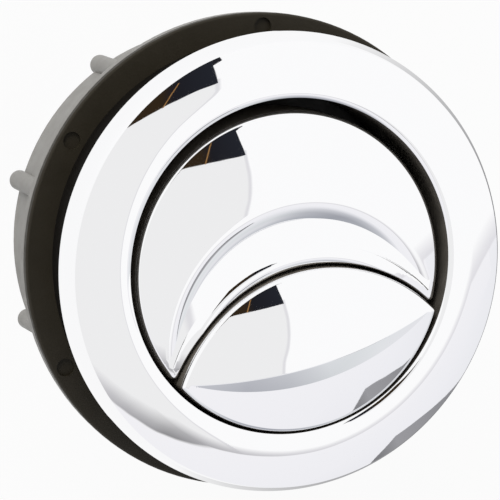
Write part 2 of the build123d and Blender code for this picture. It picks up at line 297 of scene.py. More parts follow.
def within(nodes, links, radius):
    """1 within a radius about the object's axis, else 0."""
    place, spot = nodes.new("ShaderNodeTexCoord"), nodes.new("ShaderNodeSeparateXYZ")
    links.new(place.outputs["Object"], spot.inputs[0])
    squares = (maths(nodes, links, "MULTIPLY", spot.outputs[axis], spot.outputs[axis]) for axis in "XY")
    return maths(nodes, links, "LESS_THAN", maths(nodes, links, "ADD", *squares), (radius * MM) ** 2)


def in_well(nodes, links, radius):
    """1 on walls that stand upright or face down within a radius, else 0, with a short passage between."""
    place, lean = nodes.new("ShaderNodeTexCoord"), nodes.new("ShaderNodeSeparateXYZ")
    links.new(place.outputs["Normal"], lean.inputs[0])
    upright = ranged(nodes, links, lean.outputs["Z"], wall_lean, (1.0, 0.0))
    return maths(nodes, links, "MULTIPLY", upright, within(nodes, links, radius))


def chrome_plate(name, bare_and_painted_dark, bare_and_painted_light):
    """Bright plating on moulded plastic: clear mirror, with a trace of haze and orange peel.

    Down the walls of the well, where plating hardly reaches, the dark plastic shows, its colour partly
    painted light and shade.
    """
    plating, plated_roughness, bare_roughness = (0.96, 0.96, 0.97), 0.015, 0.45
    material, nodes, links, principled = shader(name, plating, plated_roughness, metallic=1.0)
    bare = in_well(nodes, links, opening_radius + well_margin)

    def either(kind, plated, unplated, socket):
        return blended(nodes, links, kind, bare, plated, unplated, principled.inputs[socket])

    either("FLOAT", 1.0, 0.0, "Metallic")
    skin = either("FLOAT", plated_roughness, bare_roughness, "Roughness")
    haze = noise(nodes, links, scale=0.12)
    spread_to(nodes, links, haze, *haze_span, skin.inputs["A"])
    colour = either("RGBA", (*plating, 1), (*bare_and_painted_light, 1), "Base Color")
    flow = noise(nodes, links, scale=0.3, detail=2.0)
    mottle(nodes, links, flow, bare_and_painted_dark, bare_and_painted_light, colour.inputs["B"])
    peel = noise(nodes, links, scale=0.22, detail=1.0)
    bump(nodes, links, peel, peel_depth, principled.inputs["Normal"])
    return material


def moulded(name, dark, light, roughness, sheen=0.5, inner=None):
    """Moulded plastic: faint flow marks in the colour, satin skin with a fine spark-eroded grain.

    Where inner is given, it is a radius about the axis and another colour within it, which paints shade
    there.
    """
    material, nodes, links, principled = shader(name, light, roughness)
    principled.inputs["Specular IOR Level"].default_value = sheen
    colour = principled.inputs["Base Color"]
    if inner:
        inside = within(nodes, links, inner[0])
        colour = blended(nodes, links, "RGBA", inside, (*light, 1), (*inner[1], 1), colour).inputs["A"]
    flow = noise(nodes, links, scale=0.18, detail=4.0)
    mottle(nodes, links, flow, dark, light, colour)
    skin = noise(nodes, links, scale=0.5)
    low, high = (roughness + stray for stray in skin_span)
    spread_to(nodes, links, skin, low, high, principled.inputs["Roughness"])
    grain = noise(nodes, links, scale=2.5, detail=4.0)
    bump(nodes, links, grain, grain_depth, principled.inputs["Normal"])
    return material


def drawn_steel():
    """Bright steel with the lines that drawing and turning leave round it."""
    material, nodes, links, principled = shader("drawn_steel", (0.62, 0.61, 0.59), 0.28, metallic=1.0)
    lines = noise(nodes, links, scale=0.6, stretch=(1, 1, 12))
    spread_to(nodes, links, lines, *drawn_span, principled.inputs["Roughness"])
    bump(nodes, links, lines, line_depth, principled.inputs["Normal"])
    return material


# Bare plastic down the well, painted lighter on the caps and darker on the bezel: painted light and shade in
# the gap
cap_chrome_lightened_well = chrome_plate("chrome_plate", (0.09, 0.08, 0.067), (0.24, 0.216, 0.184))
bezel_chrome_darkened_well = chrome_plate("bezel_chrome_darkened_well", (0.055, 0.049, 0.041), (0.15, 0.135, 0.115))
black = moulded("black_plastic", (0.010, 0.009, 0.008), (0.016, 0.015, 0.013), roughness=0.42)
# Painted shade: just past the collar's radius and within it, the ring is coloured a darker black, for the
# shade under the bezel
collar_painted_shade = (collar_radius + collar_margin, (0.006, 0.005, 0.004))
ring_black = moulded("black_ring", (0.022, 0.018, 0.011), (0.034, 0.028, 0.018), roughness=0.5, sheen=0.25,
                     inner=collar_painted_shade)
grey = moulded("grey_plastic", (0.23, 0.222, 0.207), (0.30, 0.29, 0.272), roughness=0.48)
white = moulded("white_plastic", (0.72, 0.71, 0.68), (0.80, 0.79, 0.76), roughness=0.4)
steel = drawn_steel()

# Bezel
bezel_sides = 360
skirt_radius, foot_radius = opening_radius + bezel_wall, bezel_radius - foot_width
rim_top, shoulder = (bezel_radius, rim_land), (bezel_radius - bevel_width, bezel_height - face_fall)
crest, well_top = (opening_radius + crest_width, bezel_height), (opening_radius, bezel_height - crest_fall)
knee = (crest[0] + knee_width, bezel_height - knee_fall)
crown = bend(knee, crest, (-1, 0), steps=16, backwards=True)
crown_start = (-crown[1][0][1], crown[1][0][0])
bezel_runs = [
    straight((bezel_radius, 0), rim_top),
    bend(rim_top, shoulder, (0, 1), steps=20),
    bend(shoulder, knee, crown_start, steps=16, backwards=True),
    crown,
    bend(crest, well_top, (-1, 0), steps=10),
]
snap_top = snap_length - skirt_length
skirt = [
    well_top,
    (opening_radius, -skirt_length),
    (skirt_radius, -skirt_length),
    (skirt_radius + snap_height, snap_top - snap_length / 2),
    (skirt_radius, snap_top),
    (skirt_radius, seat_depth),
    (foot_radius, seat_depth),
    (foot_radius, 0),
    (bezel_radius, 0),
]
bezel_runs += [straight(a, b) for a, b in zip(skirt, skirt[1:])]
bezel = build("bezel_plated", [turned(*run, bezel_sides) for run in bezel_runs])
finish_piece(bezel, "housing", bezel_chrome_darkened_well, "bezel")


# Button caps: height fields over their plans, with each crease on a line of mesh edges

def sphere_cap(rim, radius, distance):
    """Height of a dome over the plane of its rim, at a distance from its axis."""
    return np.sqrt(radius**2 - distance**2) - sqrt(radius**2 - rim**2)


def from_split(x, y):
    """Distance from the centre of the split's arc."""
    return np.hypot(x, y + split_drop)


class Plan:
    """Plan of one cap, round the buttons' centre: inside the button circle, on one side of the split."""

    def __init__(self, is_full, inset=0.0):
        self.side = 1 if is_full else -1
        self.circle = button_radius - inset
        self.arc = split_radius + self.side * (split_gap / 2 + inset)
        reach_circle, reach_arc = self.circle - tip_radius, self.arc + self.side * tip_radius
        tip_y = (reach_arc**2 - reach_circle**2 - split_drop**2) / (2 * split_drop)
        self.tip = np.array([sqrt(reach_circle**2 - tip_y**2), tip_y])
        to_circle = self.tip / np.hypot(*self.tip)
        to_arc = np.array([self.tip[0], self.tip[1] + split_drop])
        to_arc *= -self.side / np.hypot(*to_arc)
        self.wedge = np.linalg.inv(np.stack([to_circle, to_arc], 1))
        self.to_circle, self.to_arc = to_circle, to_arc

    def depth(self, x, y):
        """Distance in from the outline."""
        x, y = np.abs(x), np.asarray(y, float)
        inside = np.minimum(self.circle - np.hypot(x, y), self.side * (from_split(x, y) - self.arc))
        off = np.stack([x - self.tip[0], y - self.tip[1]])
        share = np.tensordot(self.wedge, off, 1)
        in_tip = (share[0] > 0) & (share[1] > 0)
        return np.where(in_tip, tip_radius - np.hypot(*off), inside)

    def outline(self, inset, step):
        """Points along the outline, anticlockwise, inset by a distance under the tip radius."""
        tip_run = tip_radius - inset
        start = atan2(self.tip[1], self.tip[0])
        if self.side > 0:
            outer = np.linspace(start, pi - start, int(self.circle * (pi - 2 * start) / step))
        else:
            outer = np.linspace(pi - start, 2 * pi + start, int(self.circle * (pi + 2 * start) / step))
        outer = (self.circle - inset) * np.stack([np.cos(outer), np.sin(outer)], 1)
        arc_end = atan2(self.tip[1] + split_drop, self.tip[0])
        inner = np.linspace(pi - arc_end, arc_end, int(self.arc * (pi - 2 * arc_end) / step))
        if self.side < 0:
            inner = inner[::-1]
        inner = np.stack([np.cos(inner), np.sin(inner)], 1)
        inner = (self.arc + self.side * inset) * inner - (0, split_drop)
        first = atan2(*self.to_circle[::-1])
        last = atan2(*self.to_arc[::-1])
        steps = max(5, int(tip_run * abs(last - first) / step))

        def tip_arc(mirrored):
            turn = (last - first + pi) % (2 * pi) - pi
            angles = first + turn * np.linspace(0, 1, steps)[1:-1]
            arc = self.tip + tip_run * np.stack([np.cos(angles), np.sin(angles)], 1)
            return arc * (-1, 1) if mirrored else arc

        if self.side > 0:
            return np.concatenate([outer, tip_arc(True), inner, tip_arc(False)[::-1]])
        return np.concatenate([outer, tip_arc(False), inner, tip_arc(True)[::-1]])


def softer_min(a, b, blend):
    """Lesser of two heights, with the edge between them rounded over a height."""
    h = np.clip(0.5 + (b - a) / (2 * blend), 0, 1)
    return b + (a - b) * h - blend * h * (1 - h)


# Full-flush cap: a scoop under the dome, whose wall rolls over into the dome, and a bead along the split
scoop_floor_margin, scoop_floor_radius = 1.2, 480.0
scoop_drop, scoop_reach, scoop_roll, roll_start, roll_blend = 11.5, 22.7, 6.2, 0.6, 0.02
bead_drop, bead_reach, bead_radius, bead_height = 21.0, 22.8, 2.2, 0.5
floor_rim = button_radius - scoop_floor_margin
floor_lift = sphere_cap(button_radius, dome_radius, floor_rim)
bead_top = floor_lift + sphere_cap(floor_rim, scoop_floor_radius, 0) + bead_height
dome_limit = 60.0  # far outside the caps, where a dome's height no longer counts
sliver = 1e-6  # keeps a rounding just short of upright


def dome(x, y):
    return sphere_cap(button_radius, dome_radius, np.minimum(np.hypot(x, y), dome_limit))


def scoop_floor(x, y):
    return np.minimum(floor_lift + sphere_cap(floor_rim, scoop_floor_radius, np.hypot(x, y)), dome(x, y))


def roll(x, y):
    reach = np.clip(scoop_reach + roll_start - np.hypot(x, y + scoop_drop), 0, scoop_roll - sliver)
    return dome(x, y) - sqrt(scoop_roll**2 - roll_start**2) + np.sqrt(scoop_roll**2 - reach**2)


def scoop_wall(x, y):
    return softer_min(roll(x, y), dome(x, y), roll_blend)


def bead_round(x, y):
    off = np.clip(np.abs(np.hypot(x, y + bead_drop) - bead_reach), 0, bead_radius - sliver)
    return bead_top - bead_radius + np.sqrt(bead_radius**2 - off**2)


def bead(x, y):
    return np.minimum(bead_round(x, y), dome(x, y))


# Half-flush cap: a dome about the split's centre, cut down behind its crest by a ramp to the other dome
crest_offset, crest_foot, crest_dome_radius, crest_blend = 14.4, 17.3, 120.0, 0.05
corner_y = (split_radius**2 - button_radius**2 - split_drop**2) / (2 * split_drop)
corner_x = sqrt(button_radius**2 - corner_y**2) - cap_edge
ramp_low = sphere_cap(button_radius, dome_radius, crest_foot)
ramp_high = sphere_cap(split_radius, crest_dome_radius, split_drop - crest_offset)
span, ramp_fall, corner_run = crest_foot - crest_offset, ramp_high - ramp_low, crest_offset + corner_y
lean = (crest_foot**2 + ramp_low**2 - crest_offset**2 - ramp_high**2) / 2
corner_lean = (corner_x**2 + corner_y**2 - crest_offset**2 - ramp_high**2) / 2
ramp_z = (corner_lean * span + corner_run * lean) / (-ramp_high * span - corner_run * ramp_fall)
ramp_y = -(lean + ramp_fall * ramp_z) / span
ramp_radius = hypot(crest_offset + ramp_y, ramp_high - ramp_z)


def half_dome(x, y):
    reach = np.minimum(from_split(x, y), dome_limit)
    return sphere_cap(split_radius - split_gap / 2, crest_dome_radius, reach)


def ramp(x, y):
    return ramp_z + np.sqrt(np.maximum(ramp_radius**2 - x**2 - (y - ramp_y) ** 2, 0))


def half_ramp(x, y):
    return softer_min(ramp(x, y), half_dome(x, y), crest_blend)


def half_apron(x, y):
    return np.minimum(dome(x, y), half_dome(x, y))


def trace(one, other, centre_y, angles, low, high, halvings=50):
    """Points where two heights meet, along rays from a centre on the Y axis, at angles from that axis."""
    across, along = np.sin(angles), np.cos(angles)

    def gap(reach):
        x, y = reach * across, centre_y + reach * along
        return one(x, y) - other(x, y)

    low, high = np.full(len(angles), float(low)), np.full(len(angles), float(high))
    sign = np.sign(gap(low))
    crossed = sign != np.sign(gap(high))
    for _ in range(halvings):
        middle = (low + high) / 2
        same = np.sign(gap(middle)) == sign
        low, high = np.where(same, middle, low), np.where(same, high, middle)
    return np.stack([low * across, centre_y + low * along], 1)[crossed]


# Fineness of the caps' meshes
grid_step, grid_row, grid_half_width, grid_half_length = 0.34, 0.866, 25.0, 25.5
outline_step, hollow_step, edge_rows, boss_sides, rib_points = 0.3, 0.6, 8, 48, 84
line_room = 0.45  # share of a grid step that stays clear beside a crease
edge_passage = 4.0  # length over which one edge radius passes into the other
edge_guard, near, nudge, merge = 2e-5, 0.02, 2e-3, 1e-5

# Levels of a cap's lower side
RIM, CEILING, RIB, BOSS, BORE = range(5)


def triangulated(points, edges, inside_only):
    """Points and triangles of a flat mesh that keeps the given edges."""
    made = delaunay_2d_cdt([Vector(p) for p in points], edges, [], int(inside_only), merge)
    return np.array([tuple(p) for p in made[0]]), np.array([list(f) for f in made[2]])


def cap_top(plan, rim, branches, creases, outer_edge, split_edge):
    """Chunk of a cap's upper side, and its outline with heights."""

    def edge_at(x, y):
        """Radius of the rounded edge, which passes from the outer edge's to the split's at the tips."""
        balance = (button_radius - np.hypot(x, y)) - plan.side * (from_split(x, y) - plan.arc)
        share = np.clip(balance / edge_passage + 0.5, 0, 1)
        return outer_edge + (split_edge - outer_edge) * share * share * (3 - 2 * share)

    def height(branch, x, y):
        """Height of a branch, less what its rounded edge takes away."""
        edge = edge_at(x, y)
        short = np.clip(edge - plan.depth(x, y), 0, edge - edge_guard)
        return branch(x, y) - (edge - np.sqrt(edge**2 - short**2))

    border = plan.outline(0.0, outline_step)
    rows = []
    for turn in np.linspace(0, pi / 2, edge_rows)[1:]:
        for edge in {outer_edge, split_edge}:
            inset = edge * (1 - cos(turn))
            row = plan.outline(min(inset, tip_radius - near), outline_step)
            wanted = np.abs(edge_at(*row.T) - edge) < near + 0.5 * abs(outer_edge - split_edge)
            deep = np.abs(plan.depth(*row.T) - inset) < near
            rows.append(row[wanted & deep])
    lines = [crease[plan.depth(*crease.T) > near] for crease in creases]
    lines = [line for line in lines if len(line)]
    x, y = np.meshgrid(np.arange(-grid_half_width, grid_half_width, grid_step),
                       np.arange(-grid_half_length, grid_half_length, grid_step * grid_row))
    x = x + (np.arange(len(x)) % 2)[:, None] * grid_step / 2
    grid = np.stack([x.ravel(), y.ravel()], 1)
    grid = grid[plan.depth(*grid.T) > np.maximum(outer_edge, split_edge) + grid_step / 3]
    for line in lines:
        gaps = np.array([np.min(np.hypot(*(line - p).T)) for p in grid])
        grid = grid[gaps > grid_step * line_room]
    points = [tuple(p) for p in border]
    constraints = [(i, (i + 1) % len(border)) for i in range(len(border))]
    for line in lines:
        first = len(points)
        points += [tuple(p) for p in line]
        constraints += [(i, i + 1) for i in range(first, len(points) - 1)]
    for row in (*rows, grid):
        points += [tuple(p) for p in row]
    flat, faces = triangulated(points, constraints, inside_only=True)

    def slope(branch, dx, dy):
        ahead = height(branch, flat[:, 0] + dx, flat[:, 1] + dy)
        behind = height(branch, flat[:, 0] - dx, flat[:, 1] - dy)
        return (ahead - behind) / (2 * nudge)

    normals = []
    for branch in branches:
        normal = np.stack([-slope(branch, nudge, 0), -slope(branch, 0, nudge), np.ones(len(flat))], 1)
        normals.append(normal / np.linalg.norm(normal, axis=1)[:, None])
    middles = flat[faces].mean(1)
    owners = np.argmax([branch(*middles.T) for branch in branches], 0)
    corners = [[normals[owner][i] for i in face] for owner, face in zip(owners, faces)]
    heights = np.max([height(branch, *flat.T) for branch in branches], 0) + rim
    border_heights = np.max([height(branch, *border.T) for branch in branches], 0) + rim
    top = np.column_stack([flat[:, 0], flat[:, 1] + button_y, heights])
    return (top, faces, corners), border, border_heights


def wall_chunk(loop, low, high):
    """Chunk of an upright wall round a closed loop of plan points."""
    count = len(loop)
    along = np.roll(loop, -1, 0) - np.roll(loop, 1, 0)
    normal = np.stack([along[:, 1], -along[:, 0], np.zeros(count)], 1)
    normal /= np.linalg.norm(normal, axis=1)[:, None]
    rows = [np.column_stack([loop, np.broadcast_to(level, count)]) for level in (low, high)]
    points = np.concatenate(rows) + (0, button_y, 0)
    faces = [[i, (i + 1) % count, count + (i + 1) % count, count + i] for i in range(count)]
    return points, faces, [[normal[i % count] for i in face] for face in faces]


def underside(plan, hollow, border, rim, branches, stem_y):
    """Chunks of a cap's lower side: rim, hollow, two crossed ribs, and the boss that the screw enters."""
    turns = np.arange(boss_sides) * 2 * pi / boss_sides
    around = np.stack([np.cos(turns), np.sin(turns)], 1)
    boss, bore = (radius * around + (0, stem_y) for radius in (boss_radius, screw_bore))
    points, edges = [], []
    for loop in (border, hollow.outline(0.0, hollow_step), boss, bore):
        edges += [(len(points) + i, len(points) + (i + 1) % len(loop)) for i in range(len(loop))]
        points += [tuple(p) for p in loop]
    reach = np.linspace(-button_radius, button_radius, rib_points)
    for side in (-rib_wall / 2, rib_wall / 2):
        along_y = np.column_stack([np.full(rib_points, side), reach])
        along_x = np.column_stack([reach, np.full(rib_points, stem_y + side)])
        for line in (along_y, along_x):
            line = line[plan.depth(*line.T) > cap_wall / 2]
            edges += [(len(points) + i, len(points) + i + 1) for i in range(len(line) - 1)]
            points += [tuple(p) for p in line]
    flat, faces = triangulated(points, edges, inside_only=False)
    middle = flat[faces].mean(1)
    inside = plan.depth(*middle.T) > 0
    faces, middle = faces[inside], middle[inside]
    ceiling = np.max([branch(*flat.T) for branch in branches], 0) + rim - cap_wall
    levels = np.stack([np.broadcast_to(level, len(flat))
                       for level in (cap_bottom, ceiling, rib_bottom, boss_bottom, screw_end)])
    from_stem = np.hypot(middle[:, 0], middle[:, 1] - stem_y)
    on_rib = (np.abs(middle[:, 0]) < rib_wall / 2) | (np.abs(middle[:, 1] - stem_y) < rib_wall / 2)
    kind = np.where(hollow.depth(*middle.T) > 0, np.where(on_rib, RIB, CEILING), RIM)
    kind = np.where(from_stem < boss_radius, BOSS, kind)
    kind = np.where(from_stem < screw_bore, BORE, kind)

    def spot(i, k):
        return np.array([flat[i, 0], flat[i, 1] + button_y, levels[k, i]])

    def faceted(spots, outward):
        normal = np.cross(spots[1] - spots[0], spots[2] - spots[0])
        normal /= max(np.linalg.norm(normal), TINY)
        if normal @ outward < 0:
            spots, normal = spots[::-1], -normal
        return np.array(spots), [list(range(len(spots)))], [[normal] * len(spots)]

    chunks, owners, rungs = [], {}, {}
    for f, face in enumerate(faces):
        chunks.append(faceted([spot(i, kind[f]) for i in face], (0, 0, -1)))
        for i, j in zip(face, np.roll(face, -1)):
            owners.setdefault((min(i, j), max(i, j)), []).append(f)
            rungs.setdefault(i, set()).add(kind[f])

    def climb(i, low, high):
        """Points up the step at one place, with a point at each level that meets there."""
        between = {k for k in rungs[i] if levels[low, i] <= levels[k, i] <= levels[high, i]}
        return [spot(i, k) for k in sorted(between, key=lambda k: levels[k, i])]

    for (i, j), beside in owners.items():
        if len(beside) == 2 and kind[beside[0]] != kind[beside[1]]:
            low, high = sorted(beside, key=lambda f: levels[kind[f], i])
            toward = middle[high] - (flat[i] + flat[j]) / 2
            step = climb(j, kind[low], kind[high]) + climb(i, kind[low], kind[high])[::-1]
            chunks.append(faceted(step[-1:] + step[:-1], np.append(toward, 0)))
    return chunks


def cap(name, is_full, branches, creases, split_edge):
    """Builds one button's cap, which rides on the button's body and stands for its CAD cap."""
    plan, hollow = Plan(is_full), Plan(is_full, cap_wall)
    rim = full_rim if is_full else half_rim
    top, border, heights = cap_top(plan, rim, branches, creases, cap_edge, split_edge)
    chunks = [top, wall_chunk(border, cap_bottom, heights)]
    chunks += underside(plan, hollow, border, rim, branches, stems[name] - button_y)
    piece = finish_piece(build(f"{name}_plated", chunks), name, cap_chrome_lightened_well, f"{name}_cap")


def edge_lines(one, other, blend, *rays):
    """Lines along a rounded edge between two heights, across its width, traced along the same rays."""
    shares = (-1, -0.5, 0, 0.5, 1)
    return [trace(lambda x, y: one(x, y) + share * blend, other, *rays) for share in shares]


def fan(start, end, count):
    """Angles of evenly spread rays, from limits in degrees."""
    return np.radians(np.linspace(start, end, count))


def floor_ends():
    """Lines where the scoop's floor meets the dome, at both of its ends."""
    angles = fan(-40, 60, 280)
    for side in (-1, 1):
        line = floor_rim * np.stack([side * np.cos(angles), np.sin(angles)], 1)
        yield line[roll(*line.T) < dome(*line.T) - near]


wall_fan, bead_fan, bead_end_fan = fan(-88, 88, 420), fan(-72, 72, 300), fan(30, 72, 120)
flank, foot_margin, full_split_edge = bead_radius - 0.01, 0.05, 0.3
wall_foot = scoop_reach - scoop_roll
scoop_foot = trace(scoop_floor, scoop_wall, -scoop_drop, wall_fan, wall_foot, scoop_reach)
full_creases = [
    scoop_foot[np.hypot(*scoop_foot.T) < floor_rim - foot_margin],
    trace(bead, scoop_floor, -bead_drop, bead_fan, bead_reach, bead_reach + flank),
    *(trace(bead_round, dome, -bead_drop, side * bead_end_fan, bead_reach, bead_reach + off)
      for side in (-1, 1) for off in (-flank, flank)),
    *edge_lines(roll, dome, roll_blend, -scoop_drop, wall_fan, wall_foot, scoop_reach + roll_start),
    *floor_ends(),
]
cap("full_flush", True, [scoop_wall, scoop_floor, bead], full_creases, full_split_edge)
far_y = 100.0  # far enough for rays that are nearly side by side where they cross the cap
crest_near, apron_far = 8.0, 24.0
crest_fan = fan(-15, 15, 300) + pi
half_creases = [
    trace(half_apron, half_ramp, far_y, crest_fan, far_y + crest_offset, far_y + apron_far),
    *edge_lines(ramp, half_dome, crest_blend, far_y, crest_fan, far_y + crest_near, far_y + crest_foot),
]
cap("half_flush", False, [half_ramp, half_apron], half_creases, cap_edge)

# Thread of the neck, the rods' threads and the return springs
thread_bottom, thread_top, thread_foot, thread_land, thread_sink = -31.2, -2.4, 2.2, 0.9, 0.02
rod_thread_radius, rod_pitch, rod_thread_bottom, rod_thread_top = 3.25, 1.5, -48.4, -36.2
rod_thread_foot, rod_thread_land, rod_thread_sink = 1.1, 0.3, 0.03
neck_ridge = ridge(neck_radius - thread_sink, thread_radius, thread_pitch, thread_bottom, thread_top,
                   thread_foot, thread_land)
thread = finish_piece(build("neck_thread", neck_ridge), "housing", black)
rise = np.linspace(0, 1, 220)
winding, coil_length = 2 * pi * spring_turns * rise, coil_top - coil_bottom
coil_heights = coil_bottom + wire_radius + (coil_length - 2 * wire_radius) * rise
for button, stem_y in stems.items():
    round_stem = spring_radius * np.cos(winding), stem_y + spring_radius * np.sin(winding)
    path = np.column_stack([*round_stem, coil_heights])
    coil = build(f"{button}_coil", tube(path, wire_radius))
    spring = finish_piece(coil, "housing", steel, f"{button}_spring")
    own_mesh(spring)

    rod_ridge = ridge(rod_radius - rod_thread_sink, rod_thread_radius, rod_pitch, rod_thread_bottom,
                      rod_thread_top, rod_thread_foot, rod_thread_land, centre=(0, stem_y), steps=36)
    rod_thread = finish_piece(build(f"{button}_rod_thread", rod_ridge), button, white)

# Finishes of the parts that are shown as they are
finishes = {"housing": black, "clamp_ring": ring_black, "lock_nut": grey}
for button in stems:
    finishes.update({f"{button}_plunger": white, f"{button}_rod": white, f"{button}_rod_nut": grey,
                     f"{button}_screw": steel, f"{button}_clip": steel})
for node, material in finishes.items():
    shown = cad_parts[node]
    shown.data.materials.clear()
    shown.data.materials.append(material)

# Camera at the photograph's place
camera_data = bpy.data.cameras.new("camera")
camera_data.lens, camera_data.sensor_width = 268.4, 36.0
camera_data.clip_start, camera_data.clip_end = 0.01, 50
camera = bpy.data.objects.new("camera", camera_data)
bpy.context.scene.collection.objects.link(camera)
bpy.context.scene.camera = camera
view_right, view_up, view_back = (0.913, -0.2075, 0.350), (0.274, 0.950, -0.151), (-0.301, 0.234, 0.9245)
view_place = Vector((-177.8, 137.9, 532.4)) * MM
turn = Matrix((view_right, view_up, view_back)).transposed().to_4x4()
camera.matrix_world = Matrix.Translation(view_place) @ turn

# Stage: white floor and surroundings, and the studio cards that the plating mirrors
fill_strength, floor_white, floor_glow = 0.52, 0.9, 0.92
floor_reach, floor_clearance = 3.0, 0.2
scene = bpy.context.scene
scene.view_settings.view_transform = "Standard"


def seen_or_mirrored(nodes, links):
    """1 for rays that come from the camera, off a mirror or through glass, else 0."""
    path = nodes.new("ShaderNodeLightPath")
    total = path.outputs["Is Camera Ray"]
    for ray in ("Is Glossy Ray", "Is Transmission Ray"):
        total = maths(nodes, links, "MAXIMUM", total, path.outputs[ray])
    return total


def mixed_surface(nodes, links, factor, first, second):
    """Makes a mix of two shaders a material's surface."""
    mix = nodes.new("ShaderNodeMixShader")
    for socket, value in zip(mix.inputs, (factor, first, second)):
        links.new(value, socket)
    links.new(mix.outputs["Shader"], nodes["Material Output"].inputs["Surface"])


def staged(name, corners, faces, material):
    """Mesh of the stage, which isn't part of the object."""
    mesh = bpy.data.meshes.new(name)
    mesh.from_pydata(corners, [], faces)
    made = bpy.data.objects.new(name, mesh)
    scene.collection.objects.link(made)
    made.data.materials.append(material)
    return made


world = bpy.data.worlds.new("studio")
scene.world = world
world.use_nodes = True
nodes, links = world.node_tree.nodes, world.node_tree.links
sky = nodes["Background"]
sky.inputs["Color"].default_value = (1, 1, 1, 1)
strength = ranged(nodes, links, seen_or_mirrored(nodes, links), (0.0, 1.0), (fill_strength, 1.0))
links.new(strength, sky.inputs["Strength"])

floor_material, nodes, links, paper = shader("floor", (floor_white,) * 3, roughness=0.9)
glow = nodes.new("ShaderNodeEmission")
glowing = maths(nodes, links, "MULTIPLY", seen_or_mirrored(nodes, links), floor_glow)
mixed_surface(nodes, links, glowing, paper.outputs["BSDF"], glow.outputs["Emission"])
floor_z = cad_box[0].z - (press_travel + floor_clearance) * MM  # clear of the rods when both buttons are down
floor_corners = [(x * floor_reach, y * floor_reach, floor_z) for x, y in ((-1, -1), (1, -1), (1, 1), (-1, 1))]
staged("floor", floor_corners, [[0, 1, 2, 3]], floor_material)

card_material = bpy.data.materials.new("studio_card")
card_material.use_nodes = True
nodes, links = card_material.node_tree.nodes, card_material.node_tree.links
nodes.remove(nodes["Principled BSDF"])
tint = nodes.new("ShaderNodeAttribute")
tint.attribute_name = "tint"
light, clear = nodes.new("ShaderNodeEmission"), nodes.new("ShaderNodeBsdfTransparent")
links.new(tint.outputs["Color"], light.inputs["Color"])
mixed_surface(nodes, links, tint.outputs["Alpha"], clear.outputs["BSDF"], light.outputs["Emission"])


def mirrored_only(card, tints):
    """Gives a card's points their tints, and hides it from all rays but those that mirrors send."""
    colours = card.data.color_attributes.new("tint", "FLOAT_COLOR", "POINT")
    colours.data.foreach_set("color", np.ravel(tints))
    for ray in ("camera", "diffuse", "transmission", "volume_scatter", "shadow"):
        setattr(card, f"visible_{ray}", False)


def sheet(name, rows, shades, covers=None, reach=1.4):
    """Card that only mirrors see, through rows of directions (x, y) from the object.

    A shade goes with each row, and a cover, 0 being clear, with each place along the rows.
    """
    width = len(rows[0])
    corners = [Vector((x, y, sqrt(max(1 - x * x - y * y, 0.0)))) * reach for row in rows for x, y in row]
    faces = [[i * width + j, i * width + j + 1, (i + 1) * width + j + 1, (i + 1) * width + j]
             for i in range(len(rows) - 1) for j in range(width - 1)]
    made = staged(name, corners, faces, card_material)
    mirrored_only(made, [(*shade, cover) for shade in shades for cover in covers or [1.0] * width])


def flowing(points, steps=6):
    """Smooth line through points of any width."""
    points = np.asarray(points, float)
    points = np.concatenate([[2 * points[0] - points[1]], points, [2 * points[-1] - points[-2]]])
    t = np.linspace(0, 1, steps, endpoint=False)[:, None]
    runs = [b + ((c - a) * t + (2 * a - 5 * b + 4 * c - d) * t**2 + (3 * b - a - 3 * c + d) * t**3) / 2
            for a, b, c, d in zip(points, points[1:], points[2:], points[3:])]
    return np.concatenate(runs + [points[-2:-1]])


def ribbon(name, line, covers, reach=1.3):
    """Strip along a line of (x, y, half width, shade), with a cover for each share of the half width."""
    across = np.gradient(line[:, :2], axis=0)[:, ::-1] * (-1, 1)
    across /= np.linalg.norm(across, axis=1)[:, None]
    rows = [[tuple(p[:2] + n * p[2] * share) for share in covers] for p, n in zip(line, across)]
    sheet(name, rows, [(d, 0.99 * d, 1.03 * d) for d in line[:, 3]], list(covers.values()), reach)


# Softbox over the near side, with a rounded and outlined end, and the dark doorway above it
softbox_grey, softbox_fade, rim_half_width, rim_grey = 0.875, 0.006, 0.007, 0.72
softbox_end = flowing([(0.257, 0.10), (0.254, 0.03), (0.238, -0.025), (0.214, -0.07), (0.2, -0.12),
                       (0.2, -0.2), (0.2, -0.3), (0.195, -0.38), (0.18, -0.46)])
end_count = len(softbox_end)
softbox = [[(x + softbox_fade, y), (x, y), (-0.1, y), (-0.5, y)] for x, y in softbox_end]
sheet("softbox", softbox, [(softbox_grey,) * 3] * end_count, [0.0, 1.0, 1.0, 1.0], reach=1.7)
outline = np.column_stack([softbox_end, np.full(end_count, rim_half_width), np.full(end_count, rim_grey)])
ribbon("softbox_rim", outline, {1.0: 0.0, 0.2: 0.8, -0.2: 0.8, -1.0: 0.0}, reach=1.45)
door_brown, door_black, door_navy = (0.030, 0.019, 0.010), (0.013, 0.013, 0.017), (0.017, 0.019, 0.026)
edge_black, lamp_orange = (0.016, 0.016, 0.02), (0.34, 0.18, 0.065)
doorway = [[(0.0, 0.105), (-0.03, 0.3), (-0.05, 0.42)], [(0.14, 0.099), (0.13, 0.3), (0.12, 0.42)],
           [(0.17, 0.096), (0.165, 0.3), (0.16, 0.38)], [(0.257, 0.089), (0.238, 0.24), (0.23, 0.3)]]
door_edge = [[(0.236, 0.15), (0.23, 0.3)], [(0.268, 0.1615), (0.268, 0.1625)]]
door_lamp = [[(0.143, 0.098), (0.147, 0.098)], [(0.176, 0.15), (0.179, 0.15)]]
sheet("doorway", doorway, [door_brown, door_brown, door_black, door_navy])
sheet("door_edge", door_edge, [edge_black] * 2)
sheet("door_lamp", door_lamp, [lamp_orange] * 2, reach=1.3)

